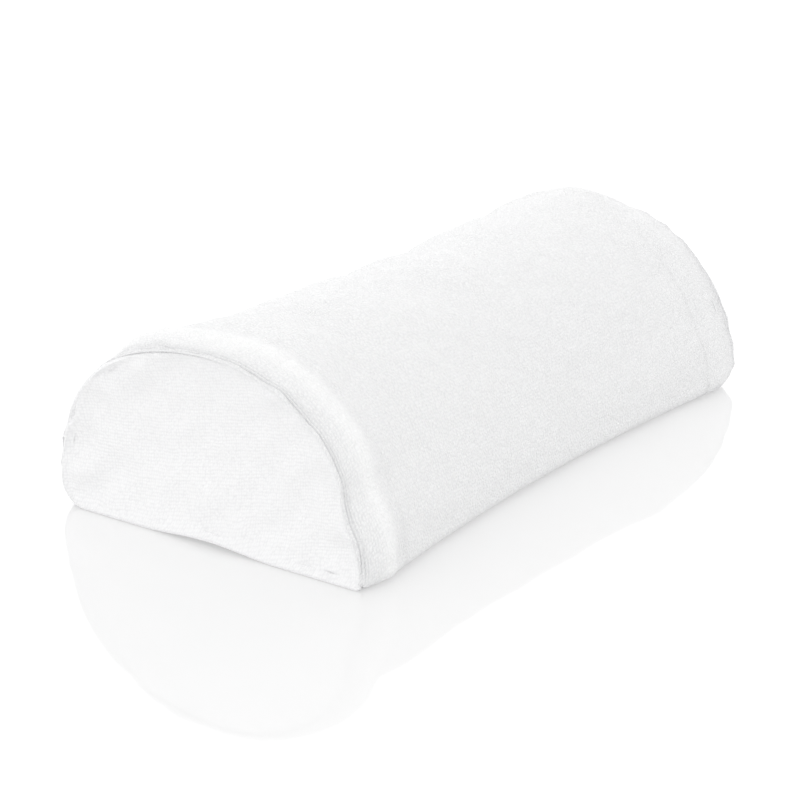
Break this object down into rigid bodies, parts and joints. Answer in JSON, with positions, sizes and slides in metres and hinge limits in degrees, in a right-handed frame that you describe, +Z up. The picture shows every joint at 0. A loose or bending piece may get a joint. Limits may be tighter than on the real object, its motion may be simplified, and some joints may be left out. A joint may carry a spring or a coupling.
{
  "type": "bolster pillow",
  "caption": "Half-round bolster pillow in a white terry cover, for resting hands, ankles or knees on in manicure and massage.",
  "frame": {"origin": "middle of the underside, on the surface that the bolster rests on", "axes": "+X along the bolster from its front end to its rear end, where the closed zip's slider is; +Z up out of the rounded crown; +Y to the left"},
  "size_m": [0.3, 0.1666, 0.0899],
  "materials": {
    "terry": "matt looped terry",
    "thread": "polyester sewing thread, slight sheen",
    "liner_cotton": "plain-woven cotton, matt",
    "foam": "open-cell polyurethane foam, matt",
    "zip_tape": "woven polyester tape, matt",
    "zip_coil": "satin nylon",
    "zip_metal": "satin die-cast metal"
  },
  "bodies": {
    "bolster": {"cover_wrap": "terry", "cover_end_front": "terry", "cover_end_rear": "terry", "end_seam_front": "thread", "end_seam_rear": "thread", "liner_wrap": "liner_cotton", "liner_base": "liner_cotton", "liner_end_front": "liner_cotton", "liner_end_rear": "liner_cotton", "liner_piping_front": "liner_cotton", "liner_piping_rear": "liner_cotton", "foam_core": "foam", "zip_tape_left": "zip_tape", "zip_tape_right": "zip_tape", "zip_coil_left": "zip_coil", "zip_coil_right": "zip_coil", "zip_top_stop_left": "zip_metal", "zip_top_stop_right": "zip_metal", "zip_bottom_stop": "zip_metal", "zip_topstitch_left": "thread", "zip_topstitch_right": "thread", "care_label": "liner_cotton"},
    "slider": {"zip_slider": "zip_metal"},
    "pull_tab": {"zip_pull_tab": "zip_metal"}
  },
  "joints": [
    {"name": "zip_travel", "type": "slide", "parent": "bolster", "child": "slider", "axis": [-1, 0, 0], "range_m": [0, 0.214]},
    {"name": "pull_swing", "type": "hinge", "parent": "slider", "child": "pull_tab", "pos_m": [0.11, 0, 0.00265], "axis": [0, -1, 0], "range_deg": [0, 165]}
  ]
}
